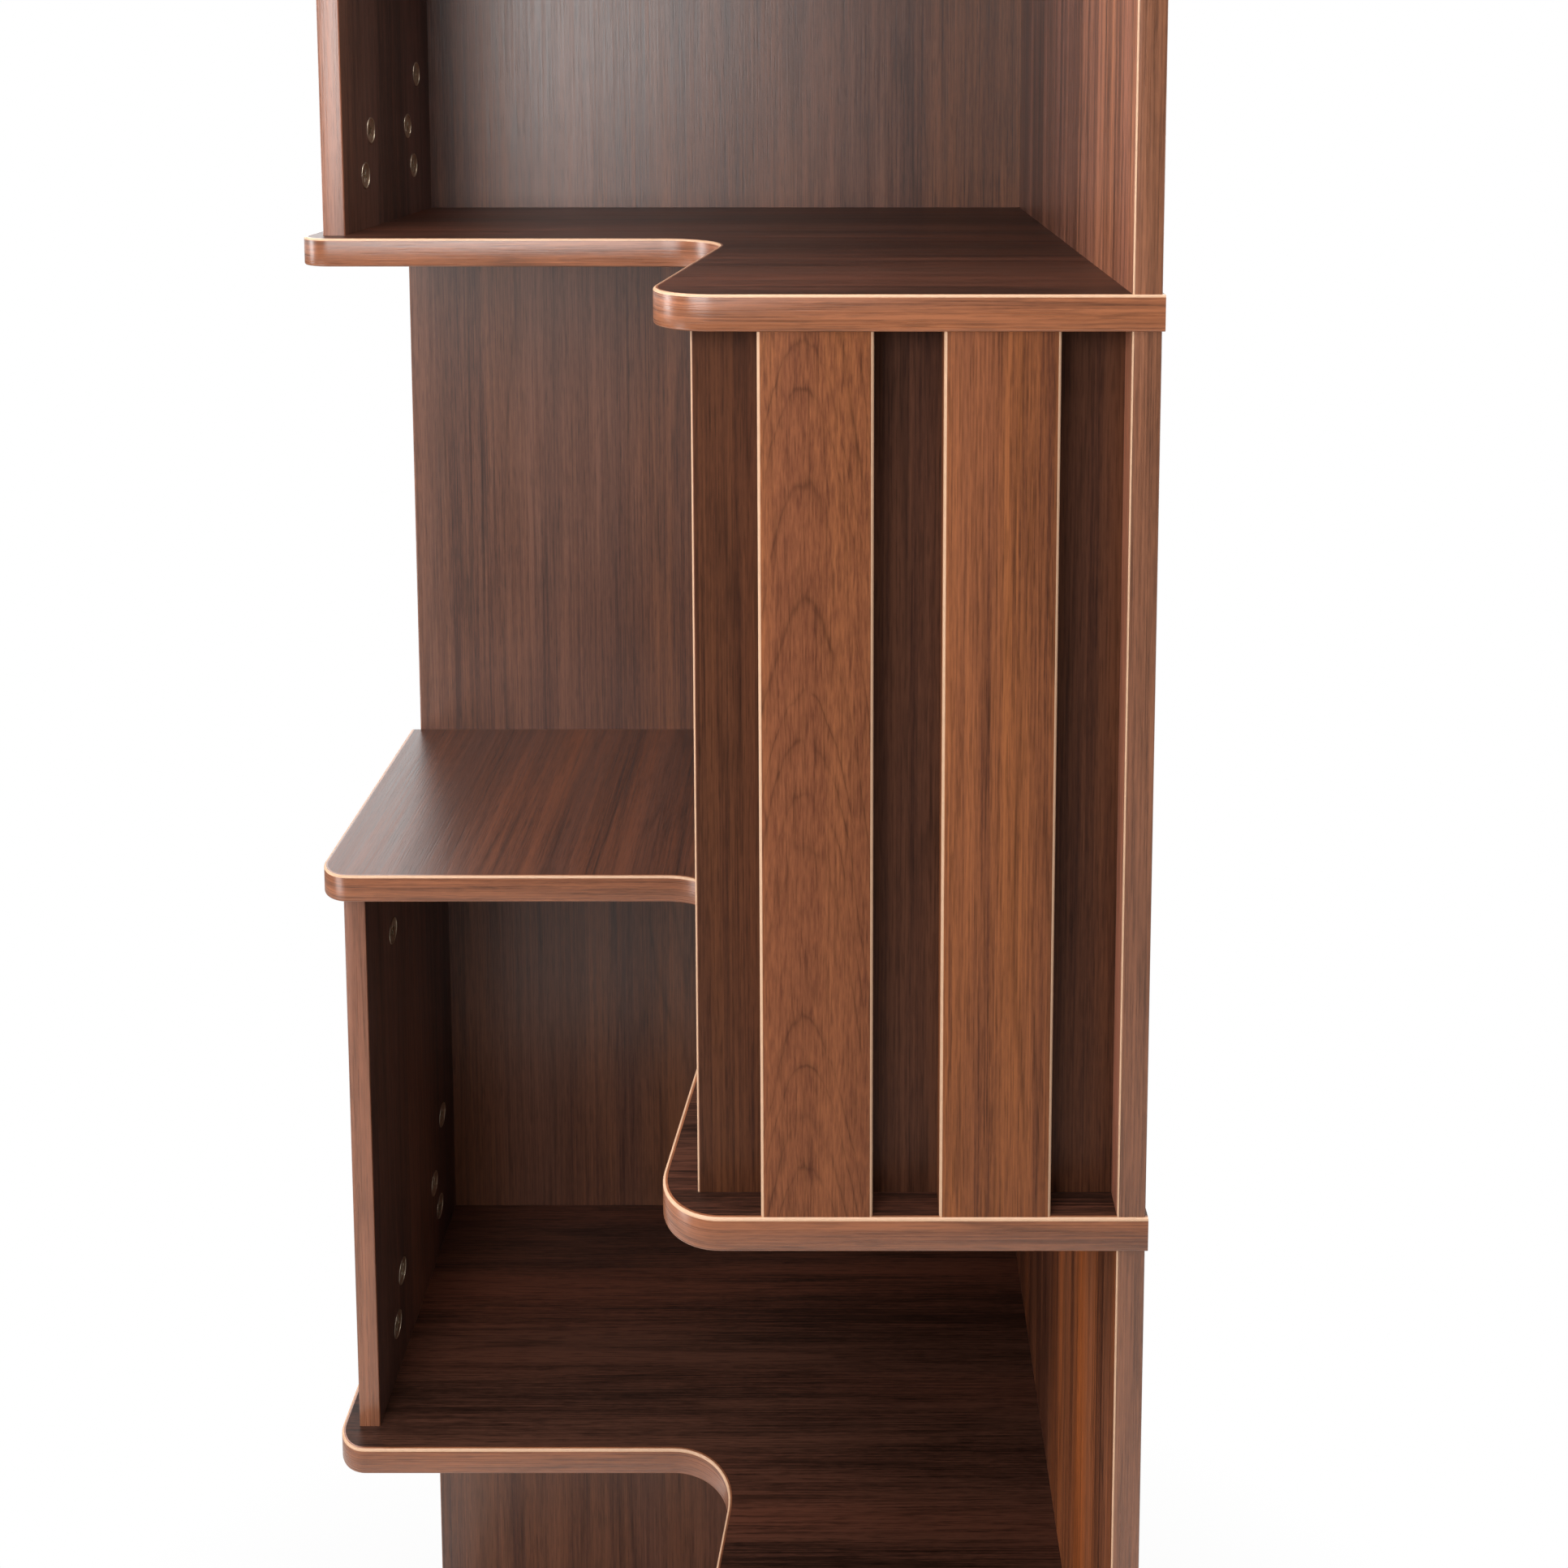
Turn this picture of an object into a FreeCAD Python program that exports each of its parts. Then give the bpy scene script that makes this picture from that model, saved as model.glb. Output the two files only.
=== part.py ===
import FreeCAD, Part
import math
import os

from FreeCAD import Vector

# A tall corner bookcase of walnut-faced board. Lengths are in mm. +X is to the right, +Y to the back and
# +Z up. The origin is on the floor, under the middle of the footprint. The back and the right side stand
# against two walls. Every other edge carries a band.

# Footprint of a full board: the left arm lies along the back wall, the front arm along the right wall
case_width = 420.0
case_depth = 420.0
left_arm_depth = 208.0
arm_root_width = 188.0
arm_nose_flare = 22.0
left_corner_r = 18.0
inner_corner_r = 34.0
nose_corner_r = 27.0
tip_land = 3.0

# Stock
board_t = 15.0
panel_t = 12.0
band_t = 2.0
panel_band_t = 1.0
band_arris_share = 0.7

# Levels, from the top face of one shelf to the top face of the next
glide_height = 4.0
closed_tier_pitch = 343.0
open_tier_pitch = 354.0
front_shelf_drop = 38.0

# Where the uprights stand on the boards
left_panel_inset = 10.0
left_panel_setback = 16.0
back_panel_inset = 6.0
right_panel_inset = 1.0
front_setback = 1.0

# Slatted end of the front arm. Its backing reaches past the root of the arm by the lap.
slat_backing_lap = 3.0
slat_width = 47.0
slat_t = 15.0
slat_arris_r = 1.2
slat_count = 2

# Room around fasteners, and how far a cutting tool runs past the face it leaves
fit_gap = 0.1
end_gap = 0.5
overrun = 1.0

# Wooden dowels. The ends of a panel use different shares, so that dowels never meet inside a board.
dowel_r = 3.0
dowel_in_panel = 21.0
dowel_in_board = 9.0
panel_top_shares = (0.2, 0.8)
panel_foot_shares = (0.3, 0.7)
back_top_shares = (0.15, 0.5, 0.85)
back_foot_shares = (0.25, 0.6, 0.92)
shelf_end_shares = (0.3, 0.75)

# Cam locks in the inner face of each left panel, with their bolts
cam_r = 7.5
cam_depth = 10.0
cam_proud = 0.3
cam_recess_length = 8.0
cam_recess_width = 1.6
cam_recess_depth = 1.6
bolt_head_r = 3.0
bolt_head_length = 4.0
bolt_neck_r = 2.0
bolt_shank_r = 3.0
bolt_thread_r = 2.5
bolt_thread_length = 9.0
bolt_shoulder_gap = 1.0
cam_near_rise = 30.0
cam_near_inset = 40.0
cam_far_rise = 55.0
cam_far_gap = 1.5
cam_back_rise = 87.0
cam_back_reach = 29.0

# Countersunk screws through the back panels
back_screw_r = 2.0
back_screw_head_r = 4.0
back_screw_head_height = 2.4
back_screw_length = 38.0
shelf_screw_shares = (0.15, 0.5, 0.85)
upright_screw_shares = (0.25, 0.75)

# Countersunk screws that hold the slats from behind
slat_screw_r = 1.75
slat_screw_head_r = 3.5
slat_screw_head_height = 2.0
slat_screw_length = 22.0
slat_screw_shares = (0.1, 0.5, 0.9)

# Angle bracket under the top board, for two screws into the back wall
bracket_width = 60.0
bracket_leg = 25.0
bracket_t = 2.0
bracket_hole_spacing = 40.0
wall_hole_r = 3.0
bracket_screw_r = 1.75
bracket_screw_head_r = 3.5
bracket_screw_head_height = 2.2
bracket_screw_grip = 11.0

# Glides under the base board
glide_r = 9.0
glide_arris_share = 0.3
glide_pin_r = 2.0
glide_pin_length = 9.0
glide_inset = 30.0

# Places that follow from the sizes above
left_x = -case_width / 2
right_x = case_width / 2
front_y = -case_depth / 2
back_y = case_depth / 2
arm_y = back_y - left_arm_depth
root_x = right_x - arm_root_width
nose_x = root_x - arm_nose_flare
wall_y = back_y - panel_t
face_y = front_y + front_setback
left_in_x = left_x + left_panel_inset + panel_t
right_in_x = right_x - right_panel_inset - panel_t
right_out_x = right_x - right_panel_inset
# The bolt of a far cam lock passes clear beside the near one
cam_far_inset = cam_near_inset + cam_r + bolt_shank_r + cam_far_gap

base_top = glide_height + board_t
lower_left_top = base_top + closed_tier_pitch
middle_top = lower_left_top + open_tier_pitch
upper_left_top = middle_top + closed_tier_pitch
upper_top = upper_left_top + open_tier_pitch
top_top = upper_top + closed_tier_pitch

ACROSS = Vector(1, 0, 0)
BACK = Vector(0, 1, 0)
UP = Vector(0, 0, 1)
ORIGIN = Vector(0, 0, 0)

parts = {}
cuts = {}
hardware = {"dowels": [], "cam_locks": [], "cam_bolts": [], "back_screws": [], "slat_screws": []}


def add(name, shape):
    """Enter a piece under its node's name."""
    parts[name] = shape
    cuts[name] = []


def at_share(span, share):
    """Place at a share of the way along a (low, high) span."""
    return span[0] + (span[1] - span[0]) * share


def block(x_span, y_span, z_span):
    """Solid box between three (low, high) spans."""
    sides = [high - low for low, high in (x_span, y_span, z_span)]
    return Part.makeBox(*sides, Vector(x_span[0], y_span[0], z_span[0]))


def rounded_wire(corners):
    """Closed wire through (point, radius) corners, each rounded by an arc of its radius."""
    turns = []
    for i, (point, radius) in enumerate(corners):
        back = (corners[i - 1][0] - point).normalize()
        ahead = (corners[(i + 1) % len(corners)][0] - point).normalize()
        half = back.getAngle(ahead) / 2
        reach = radius / math.tan(half)
        bulge = (back + ahead).normalize() * (radius / math.sin(half) - radius)
        turns.append((point + back * reach, point + bulge, point + ahead * reach))
    edges = []
    for i, (start, middle, end) in enumerate(turns):
        edges.append(Part.LineSegment(turns[i - 1][2], start).toShape())
        if corners[i][1]:
            edges.append(Part.Arc(start, middle, end).toShape())
    return Part.Wire(edges)


def inset_corners(corners, insets):
    """Corners of an anticlockwise outline after each edge moves in by its own inset."""
    moved = []
    for i, (point, radius) in enumerate(corners):
        incoming = (point - corners[i - 1][0]).normalize()
        outgoing = (corners[(i + 1) % len(corners)][0] - point).normalize()
        turn = incoming.x * outgoing.y - incoming.y * outgoing.x
        shift = (outgoing * insets[i - 1] - incoming * insets[i]) * (1 / turn)
        new_radius = radius and (radius - insets[i] if turn > 0 else radius + insets[i])
        moved.append((point + shift, new_radius))
    return moved


def banded_board(name, corners, banded, top_z):
    """Shelf board and, along the banded edges of its outline, a glued band with rounded arrises."""
    insets = [band_t if flag else 0 for flag in banded]
    whole = Part.Face(rounded_wire(corners)).extrude(UP * board_t)
    core = Part.Face(rounded_wire(inset_corners(corners, insets))).extrude(UP * board_t)
    arrises = []
    for edge in whole.Edges:
        middle = edge.valueAt((edge.FirstParameter + edge.LastParameter) / 2)
        level = edge.Vertexes[0].Z == edge.Vertexes[-1].Z
        if level and Part.Vertex(middle).distToShape(core)[0] > band_t / 2:
            arrises.append(edge)
    band = whole.makeFillet(band_t * band_arris_share, arrises).cut(core)
    for piece in (core, band):
        piece.translate(UP * (top_z - board_t))
    add(name, core)
    add(name + "_band", band)


def rounded_block(x_span, y_span, z_span, axis, radius):
    """Box with its two upright edges on the low side of an axis, "x" or "y", rounded."""
    box = block(x_span, y_span, z_span)
    arrises = []
    for edge in box.Edges:
        foot, head = edge.Vertexes
        low_x = foot.X < at_share(x_span, 1 / 2)
        low_y = foot.Y < at_share(y_span, 1 / 2)
        if foot.Z != head.Z and {"x": low_x, "y": low_y}[axis]:
            arrises.append(edge)
    return box.makeFillet(radius, arrises)


def banded_panel(name, x_span, y_span, z_span, axis):
    """Upright panel with a thin band along its low side on an axis, "x" or "y"."""
    spans = {"x": x_span, "y": y_span}
    low, high = spans[axis]
    seam = low + panel_band_t
    core = {**spans, axis: (seam, high)}
    band = {**spans, axis: (low, seam)}
    add(name, block(core["x"], core["y"], z_span))
    radius = panel_band_t * band_arris_share
    add(name + "_band", rounded_block(band["x"], band["y"], z_span, axis, radius))


def add_dowel(joint, ahead, panel, board):
    """Dowel across a joint: most of it in the end of the panel, the rest in the board ahead."""
    length = dowel_in_panel + dowel_in_board
    start = joint - ahead * dowel_in_panel
    hardware["dowels"].append(Part.makeCylinder(dowel_r, length, start, ahead))
    hole = Part.makeCylinder(dowel_r + fit_gap, length + 2 * end_gap, start - ahead * end_gap, ahead)
    cuts[panel].append(hole)
    cuts[board].append(hole)


def add_screw(group, sizes, head_point, ahead, through, into):
    """Countersunk screw with its head flush at head_point, through one piece and into the next."""
    shank_r, head_r, head_height, length = sizes
    neck = head_point + ahead * head_height
    head = Part.makeCone(head_r, shank_r, head_height, head_point, ahead)
    shank = Part.makeCylinder(shank_r, length - head_height, neck, ahead)
    hardware[group].append(head.fuse(shank))
    sink = Part.makeCone(head_r + fit_gap, shank_r + fit_gap, head_height, head_point, ahead)
    bore = Part.makeCylinder(shank_r + fit_gap, length - head_height + end_gap, neck, ahead)
    cuts[through] += [sink, bore]
    cuts[into].append(bore)


def add_back_screw(x, z, through, into):
    """Screw from the back wall's side, through a back panel and into the edge of another piece."""
    sizes = (back_screw_r, back_screw_head_r, back_screw_head_height, back_screw_length)
    add_screw("back_screws", sizes, Vector(x, back_y, z), -BACK, through, into)


def cam_lock():
    """Cam lock with its face at the origin towards +X and its bolt's mouth towards -Z."""
    body = Part.makeCylinder(cam_r, cam_depth, ACROSS * (cam_proud - cam_depth), ACROSS)
    mouth_top = bolt_head_length / 2 + end_gap
    mouth_start = Vector(-panel_t / 2, 0, mouth_top)
    mouth = Part.makeCylinder(bolt_head_r + fit_gap, mouth_top + cam_r + overrun, mouth_start, -UP)
    depth = (cam_proud - cam_recess_depth, cam_proud + overrun)
    length = (-cam_recess_length / 2, cam_recess_length / 2)
    width = (-cam_recess_width / 2, cam_recess_width / 2)
    return body.cut([mouth, block(depth, length, width), block(depth, width, length)])


def cam_bolt(reach):
    """Bolt of a cam lock at the origin, down through the panel's end at reach and into the next piece."""
    axis = -ACROSS * (panel_t / 2)
    head_top = bolt_head_length / 2
    shoulder = cam_r + bolt_shoulder_gap
    head = Part.makeCylinder(bolt_head_r, bolt_head_length, axis + UP * head_top, -UP)
    neck = Part.makeCylinder(bolt_neck_r, shoulder, axis, -UP)
    shank = Part.makeCylinder(bolt_shank_r, reach - shoulder, axis - UP * shoulder, -UP)
    thread = Part.makeCylinder(bolt_thread_r, bolt_thread_length, axis - UP * reach, -UP)
    return head.fuse([neck, shank, thread])


def add_cam(panel, target, y, z, turn, reach):
    """Cam lock on a left panel's inner face. Turned by 0 its bolt points down, by 90 back, by 180 up."""
    axis = -ACROSS * (panel_t / 2)
    pocket_depth = cam_depth - cam_proud + fit_gap
    pocket = Part.makeCylinder(cam_r + fit_gap, pocket_depth + overrun, ACROSS * -pocket_depth, ACROSS)
    bore = Part.makeCylinder(bolt_shank_r + fit_gap, reach + overrun, axis, -UP)
    pilot_r = bolt_thread_r + fit_gap
    pilot = Part.makeCylinder(pilot_r, bolt_thread_length + end_gap, axis - UP * reach, -UP)
    placed = []
    for shape in (cam_lock(), cam_bolt(reach), pocket, bore, pilot):
        shape.rotate(ORIGIN, ACROSS, turn)
        shape.translate(Vector(left_in_x, y, z))
        placed.append(shape)
    lock, bolt, pocket, bore, pilot = placed
    hardware["cam_locks"].append(lock)
    hardware["cam_bolts"].append(bolt)
    cuts[panel] += [pocket, bore]
    cuts[target].append(pilot)


def slant_x(y):
    """Left edge of the front arm at a given depth."""
    return root_x + (nose_x - root_x) * (arm_y - y) / (arm_y - front_y)


# Outlines of the three kinds of shelf board, anticlockwise, with the edges that carry a band
slant = math.atan2(root_x - nose_x, arm_y - front_y)
tip_reach = inner_corner_r * math.tan((math.pi / 2 + slant) / 2)
tip_y = arm_y - tip_reach * math.cos(slant) - tip_land

front_right = (Vector(right_x, front_y, 0), 0)
left_front = (Vector(left_x, arm_y, 0), left_corner_r)
inner_corner = (Vector(root_x, arm_y, 0), inner_corner_r)
nose = (Vector(nose_x, front_y, 0), nose_corner_r)
full_outline = [
    front_right,
    (Vector(right_x, back_y, 0), 0),
    (Vector(left_x, back_y, 0), 0),
    left_front,
    inner_corner,
    nose,
]
full_banded = (False, False, True, True, True, True)
left_outline = [
    (Vector(root_x, tip_y, 0), 0),
    (Vector(root_x, wall_y, 0), 0),
    (Vector(left_x, wall_y, 0), 0),
    left_front,
    inner_corner,
    (Vector(slant_x(tip_y), tip_y, 0), 0),
]
left_banded = (False, False, True, True, True, False)
front_outline = [
    front_right,
    (Vector(right_x, wall_y, 0), 0),
    (Vector(root_x, wall_y, 0), 0),
    inner_corner,
    nose,
]
front_banded = (False, False, True, True, True)

# Boards and shelves
for name, top_z in (
    ("top_board", top_top),
    ("upper_board", upper_top),
    ("middle_board", middle_top),
    ("base_board", base_top),
):
    banded_board(name, full_outline, full_banded, top_z)
for name, top_z in (("upper_left_shelf", upper_left_top), ("lower_left_shelf", lower_left_top)):
    banded_board(name, left_outline, left_banded, top_z)
for name, top_z in (("upper_front_shelf", upper_left_top), ("lower_front_shelf", lower_left_top)):
    banded_board(name, front_outline, front_banded, top_z - front_shelf_drop)


def add_back_panel(name, z_span, below, above):
    """Back panel between two full boards."""
    x_span = (left_x + back_panel_inset, right_out_x)
    banded_panel(name, x_span, (wall_y, back_y), z_span, "x")
    mid_y = back_y - panel_t / 2
    for share in back_foot_shares:
        add_dowel(Vector(at_share(x_span, share), mid_y, z_span[0]), -UP, name, below)
    for share in back_top_shares:
        add_dowel(Vector(at_share(x_span, share), mid_y, z_span[1]), UP, name, above)


def add_right_panel(name, z_span, below, above, back_panel):
    """Right panel of one tier, between the pieces below and above it."""
    x_span = (right_in_x, right_out_x)
    y_span = (face_y, wall_y)
    banded_panel(name, x_span, y_span, z_span, "y")
    mid_x = at_share(x_span, 1 / 2)
    for share in panel_foot_shares:
        add_dowel(Vector(mid_x, at_share(y_span, share), z_span[0]), -UP, name, below)
    for share in panel_top_shares:
        add_dowel(Vector(mid_x, at_share(y_span, share), z_span[1]), UP, name, above)
    for share in upright_screw_shares:
        add_back_screw(mid_x, at_share(z_span, share), back_panel, name)


def add_left_panel(name, z_span, below, above, back_panel):
    """Left panel of a closed tier, held by cam locks in its inner face."""
    x_span = (left_in_x - panel_t, left_in_x)
    y_span = (arm_y + left_panel_setback, wall_y)
    banded_panel(name, x_span, y_span, z_span, "y")
    for inset, rise in ((cam_near_inset, cam_near_rise), (cam_far_inset, cam_far_rise)):
        for y in (y_span[0] + inset, y_span[1] - inset):
            add_cam(name, below, y, z_span[0] + rise, 0, rise)
    add_cam(name, above, y_span[0] + cam_far_inset, z_span[1] - cam_far_rise, 180, cam_far_rise)
    add_cam(name, back_panel, y_span[1] - cam_back_reach, z_span[0] + cam_back_rise, 90, cam_back_reach)


def add_divider(name, z_span, shelf, shelf_top, below, above, back_panel):
    """Upright in the inner corner: it hangs the front shelf and takes the right end of the left shelf."""
    x_span = (root_x, root_x + panel_t)
    y_span = (tip_y, wall_y)
    add(name, block(x_span, y_span, z_span))
    mid_x = at_share(x_span, 1 / 2)
    for share in panel_foot_shares:
        add_dowel(Vector(mid_x, at_share(y_span, share), z_span[0]), -UP, name, below)
    for share in panel_top_shares:
        add_dowel(Vector(mid_x, at_share(y_span, share), z_span[1]), UP, name, above)
    for share in shelf_end_shares:
        joint = Vector(root_x, at_share(y_span, share), shelf_top - board_t / 2)
        add_dowel(joint, ACROSS, shelf, name)
    for share in upright_screw_shares:
        add_back_screw(mid_x, at_share(z_span, share), back_panel, name)


def add_slatted_end(level, z_span, below, above):
    """Slatted end of the front arm: a set-back panel with two slats screwed to its face from behind."""
    backing = level + "_slat_backing"
    x_span = (root_x - slat_backing_lap, right_in_x)
    y_span = (face_y + slat_t, face_y + slat_t + panel_t)
    banded_panel(backing, x_span, y_span, z_span, "x")
    mid_y = at_share(y_span, 1 / 2)
    for share in panel_foot_shares:
        add_dowel(Vector(at_share(x_span, share), mid_y, z_span[0]), -UP, backing, below)
    for share in panel_top_shares:
        add_dowel(Vector(at_share(x_span, share), mid_y, z_span[1]), UP, backing, above)
    sizes = (slat_screw_r, slat_screw_head_r, slat_screw_head_height, slat_screw_length)
    gap = (x_span[1] - x_span[0] - slat_count * slat_width) / (slat_count + 1)
    for number in range(slat_count):
        name = f"{level}_slat_{number + 1}"
        low = x_span[0] + gap + number * (gap + slat_width)
        slat_x = (low, low + slat_width)
        slat_y = (face_y, y_span[0])
        add(name, rounded_block(slat_x, slat_y, z_span, "y", slat_arris_r))
        for share in slat_screw_shares:
            head = Vector(at_share(slat_x, 1 / 2), y_span[1], at_share(z_span, share))
            add_screw("slat_screws", sizes, head, -BACK, backing, name)


def add_shelf_screws(shelf, x_span, top_z, back_panel):
    """Screws through the back panel into the back edge of a left or front shelf."""
    for share in shelf_screw_shares:
        add_back_screw(at_share(x_span, share), top_z - board_t / 2, back_panel, shelf)


# Top tier, closed on the left and open in front
top_span = (upper_top, top_top - board_t)
add_back_panel("top_back_panel", top_span, "upper_board", "top_board")
add_right_panel("right_panel_1", top_span, "upper_board", "top_board", "top_back_panel")
add_left_panel("left_panel_1", top_span, "upper_board", "top_board", "top_back_panel")

# Two alike pairs of tiers: the higher one open on the left and slatted in front, the lower one the reverse
for level, number, high_board, high_top, left_top, low_board, low_top in (
    ("upper", 2, "upper_board", upper_top, upper_left_top, "middle_board", middle_top),
    ("lower", 4, "middle_board", middle_top, lower_left_top, "base_board", base_top),
):
    left_shelf = level + "_left_shelf"
    front_shelf = level + "_front_shelf"
    back_panel = level + "_back_panel"
    front_top = left_top - front_shelf_drop
    high_under = high_top - board_t
    add_back_panel(back_panel, (low_top, high_under), low_board, high_board)
    slat_span = (front_top, high_under)
    add_right_panel(f"right_panel_{number}", slat_span, front_shelf, high_board, back_panel)
    low_span = (low_top, front_top - board_t)
    add_right_panel(f"right_panel_{number + 1}", low_span, low_board, front_shelf, back_panel)
    left_span = (low_top, left_top - board_t)
    add_left_panel(f"left_panel_{number + 1}", left_span, low_board, left_shelf, back_panel)
    add_divider(level + "_divider", slat_span, left_shelf, left_top, front_shelf, high_board, back_panel)
    add_slatted_end(level, slat_span, front_shelf, high_board)
    add_shelf_screws(left_shelf, (left_x, root_x), left_top, back_panel)
    add_shelf_screws(front_shelf, (root_x, right_in_x), front_top, back_panel)

# Wall bracket in the corner between the top board and its back panel
under = top_top - board_t
half_bracket = (-bracket_width / 2, bracket_width / 2)
flange = block(half_bracket, (wall_y - bracket_leg, wall_y), (under - bracket_t, under))
upright = block(half_bracket, (wall_y - bracket_t, wall_y), (under - bracket_leg, under))
add("wall_bracket", flange.fuse(upright).removeSplitter())
bracket_screws = []
for side in (-1, 1):
    x = side * bracket_hole_spacing / 2
    wall_start = Vector(x, wall_y - bracket_t - overrun, under - bracket_leg / 2)
    wall_hole = Part.makeCylinder(wall_hole_r, bracket_t + panel_t + 2 * overrun, wall_start, BACK)
    cuts["wall_bracket"].append(wall_hole)
    cuts["top_back_panel"].append(wall_hole)
    seat = Vector(x, wall_y - bracket_leg / 2 - bracket_t / 2, under - bracket_t)
    head = Part.makeCylinder(bracket_screw_head_r, bracket_screw_head_height, seat, -UP)
    shank = Part.makeCylinder(bracket_screw_r, bracket_t + bracket_screw_grip, seat, UP)
    bracket_screws.append(head.fuse(shank))
    pilot = Part.makeCylinder(bracket_screw_r + fit_gap, bracket_t + bracket_screw_grip + end_gap, seat, UP)
    cuts["wall_bracket"].append(pilot)
    cuts["top_board"].append(pilot)

# Glides under the corners of the base board
glides = []
for x, y in (
    (left_x + glide_inset, back_y - glide_inset),
    (left_x + glide_inset, arm_y + glide_inset),
    (nose_x + glide_inset, front_y + glide_inset),
    (right_x - glide_inset, front_y + glide_inset),
    (right_x - glide_inset, back_y - glide_inset),
):
    foot = Vector(x, y, 0)
    disc = Part.makeCylinder(glide_r, glide_height, foot, UP)
    rim = [edge for edge in disc.Edges if edge.BoundBox.ZMax == edge.BoundBox.ZMin == 0]
    disc = disc.makeChamfer(glide_height * glide_arris_share, rim)
    pin = Part.makeCylinder(glide_pin_r, glide_pin_length, foot + UP * glide_height, UP)
    glides.append(disc.fuse(pin))
    seat_depth = glide_pin_length + end_gap
    seat = Part.makeCylinder(glide_pin_r + fit_gap, seat_depth, foot + UP * glide_height, UP)
    cuts["base_board"].append(seat)

for name, tools in cuts.items():
    if tools:
        parts[name] = parts[name].cut(tools)
for name, solids in hardware.items():
    parts[name] = Part.makeCompound(solids)
parts["bracket_screws"] = Part.makeCompound(bracket_screws)
parts["floor_glides"] = Part.makeCompound(glides)

os.makedirs("parts", exist_ok=True)
for name, shape in parts.items():
    shape.exportStep(f"parts/{name}.step")
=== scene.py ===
import math
from itertools import cycle

import bmesh
import bpy
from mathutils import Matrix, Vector


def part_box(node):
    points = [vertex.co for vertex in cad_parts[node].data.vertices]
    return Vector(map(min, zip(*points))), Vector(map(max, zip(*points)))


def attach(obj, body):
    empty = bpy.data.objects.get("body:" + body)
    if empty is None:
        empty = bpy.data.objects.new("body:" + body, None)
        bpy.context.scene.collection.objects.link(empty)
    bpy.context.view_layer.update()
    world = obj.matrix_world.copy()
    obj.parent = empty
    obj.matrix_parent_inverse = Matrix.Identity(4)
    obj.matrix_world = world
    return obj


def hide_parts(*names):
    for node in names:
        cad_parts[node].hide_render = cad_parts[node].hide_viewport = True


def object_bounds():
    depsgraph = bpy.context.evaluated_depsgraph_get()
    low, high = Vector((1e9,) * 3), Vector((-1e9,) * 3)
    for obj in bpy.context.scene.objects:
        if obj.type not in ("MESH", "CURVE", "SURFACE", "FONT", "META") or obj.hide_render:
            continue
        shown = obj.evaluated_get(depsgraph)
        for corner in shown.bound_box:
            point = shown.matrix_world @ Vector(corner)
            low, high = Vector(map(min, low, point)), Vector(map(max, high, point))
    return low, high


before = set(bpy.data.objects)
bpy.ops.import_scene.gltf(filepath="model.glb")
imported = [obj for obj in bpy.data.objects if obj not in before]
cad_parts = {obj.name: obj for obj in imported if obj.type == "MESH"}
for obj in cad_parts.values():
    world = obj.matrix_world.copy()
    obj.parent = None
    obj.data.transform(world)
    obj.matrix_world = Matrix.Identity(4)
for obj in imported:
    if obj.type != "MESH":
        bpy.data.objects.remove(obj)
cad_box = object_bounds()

# A corner bookcase of walnut-faced board with edged shelves and slatted front ends. Lengths are in metres
# in the frame's own axes: +X to the right, +Y to the back wall, +Z up.
MM = 0.001
# Places closer together than this count as the same
SAME_PLACE = 0.01 * MM

# Outline of the L-shaped boards: a left arm, and a front arm whose nose flares to the left of its root
CASE_LEFT, CASE_FRONT = cad_box[0].xy
CASE_RIGHT = cad_box[1].x
ARM_FRONT = 2 * MM
ARM_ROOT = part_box("upper_divider")[0].x
# A left shelf runs forward beside the divider and ends where it does
TAIL_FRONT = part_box("upper_divider")[0].y
NOSE_FLARE = 22 * MM
NOSE = ARM_ROOT - NOSE_FLARE
LEFT_CORNER_R = 18 * MM
INNER_CORNER_R = 34 * MM
NOSE_CORNER_R = 27 * MM
CORNER_STEPS = 16
# Edges that turn by less than this are one straight edge
STRAIGHT = math.radians(1)

# Edge bands and their trimmed arrises
BAND = 2 * MM
SHELF_ARRIS = 1.1 * MM
PANEL_ARRIS = 0.7 * MM
SLAT_ARRIS = 1.2 * MM
ARRIS_STEPS = 3
ROUND = 0.5
CREASE = math.radians(35)

# Tiers that have right and left panels, counted from the top, and the words that name the back panels and
# the slatted ends
UPPER_RIGHT_TIERS = (1, 2)
LOWER_RIGHT_TIERS = (3, 4, 5)
LEFT_TIERS = (1, 3, 5)
BACKS = ("top", "upper", "lower")
SLATTED_ENDS = ("upper", "lower")


# Finishes

# Typical of lacquer, plastic and wood
COATING_IOR = 1.5
NOISE_ROUGHNESS = 0.6

# Layers of the walnut print: the width and length of a streak in mm, its octaves of noise, the noise levels
# that become 0 and 1, and how far its sides waver. What a foil sets for itself is left out.
TONE_BANDS = dict(length=620, detail=1.5, low=0.34, high=0.66)
WARM_BANDS = dict(length=900, detail=1, low=0.4, high=0.68)
GROWTH = dict(detail=4, low=0.3, high=0.7, waver=0.2)
# Real fibres and pores are finer than a pixel, so these are drawn about twice as coarse
FIBRES = dict(across=0.8, detail=2, low=0.34, high=0.66)
FLECKS = dict(across=0.8, length=7, detail=2, low=0.34, high=0.66, waver=0.4)
PORES = dict(across=0.7, length=18, detail=0, low=0.58, high=0.7)
# Usual lengths of growth streaks and fibres, and how much wider warm bands are than tone bands
GROWTH_LENGTH = 240
FIBRE_LENGTH = 90
WARM_WIDTH_SHARE = 1.7

# How far tone bands, growth streaks, fibres and flecks move the tone, and the tone that they move about
TONE_SHARES = (0.5, 0.5, 0.5, 0.24)
MIDDLE_TONE = 0.6
# How far painted shade, on the rear of the right panels' inner faces, and pores darken it
REAR_SHADE_SHARE = 0.5
PORE_SHARE = 0.24
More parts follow.
